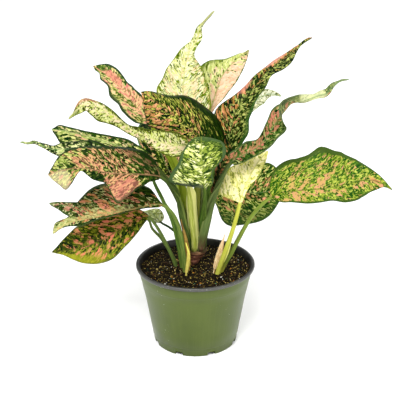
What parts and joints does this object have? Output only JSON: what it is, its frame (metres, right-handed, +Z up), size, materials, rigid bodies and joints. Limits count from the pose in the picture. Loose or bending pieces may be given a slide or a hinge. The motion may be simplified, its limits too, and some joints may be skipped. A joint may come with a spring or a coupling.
{
  "type": "potted chinese evergreen",
  "caption": "Potted aglaonema: pink, cream and green flecked leaves on stout stalks from one short cane, standing in soil in a round green nursery pot.",
  "frame": {"origin": "centre of the pot's flat underside, on the bench", "axes": "+Z up, -Y towards the plant's front, +X to the right of the front view"},
  "size_m": [0.4613, 0.248, 0.4444],
  "materials": {
    "pot": "satin",
    "soil": "matte",
    "cane": "matte",
    "leaf_upper_left": "satin",
    "leaf_big_centre": "satin",
    "leaf_cream_left": "satin",
    "leaf_back_left": "satin",
    "leaf_long_tail": "satin",
    "leaf_front_left": "satin",
    "leaf_middle_left": "satin",
    "leaf_behind_left": "satin",
    "leaf_lowest_left": "satin",
    "leaf_small_back": "satin",
    "leaf_centre_front": "satin",
    "leaf_top_cream": "satin",
    "leaf_top_peach": "satin",
    "leaf_upper_right": "satin",
    "leaf_small_right": "satin",
    "leaf_right": "satin",
    "leaf_yellow": "satin",
    "leaf_large_right": "satin",
    "leaf_dark_oval": "satin",
    "leaf_back": "satin",
    "sheath_dry_left": "matte",
    "sheath_young_left": "matte",
    "sheath_papery_right": "matte",
    "sheath_pale_right": "matte"
  },
  "bodies": {
    "root": {"pot": "pot", "soil": "soil", "cane": "cane", "leaf_upper_left": "leaf_upper_left", "leaf_big_centre": "leaf_big_centre", "leaf_cream_left": "leaf_cream_left", "leaf_back_left": "leaf_back_left", "leaf_long_tail": "leaf_long_tail", "leaf_front_left": "leaf_front_left", "leaf_middle_left": "leaf_middle_left", "leaf_behind_left": "leaf_behind_left", "leaf_lowest_left": "leaf_lowest_left", "leaf_small_back": "leaf_small_back", "leaf_centre_front": "leaf_centre_front", "leaf_top_cream": "leaf_top_cream", "leaf_top_peach": "leaf_top_peach", "leaf_upper_right": "leaf_upper_right", "leaf_small_right": "leaf_small_right", "leaf_right": "leaf_right", "leaf_yellow": "leaf_yellow", "leaf_large_right": "leaf_large_right", "leaf_dark_oval": "leaf_dark_oval", "leaf_back": "leaf_back", "sheath_dry_left": "sheath_dry_left", "sheath_young_left": "sheath_young_left", "sheath_papery_right": "sheath_papery_right", "sheath_pale_right": "sheath_pale_right"}
  },
  "joints": []
}
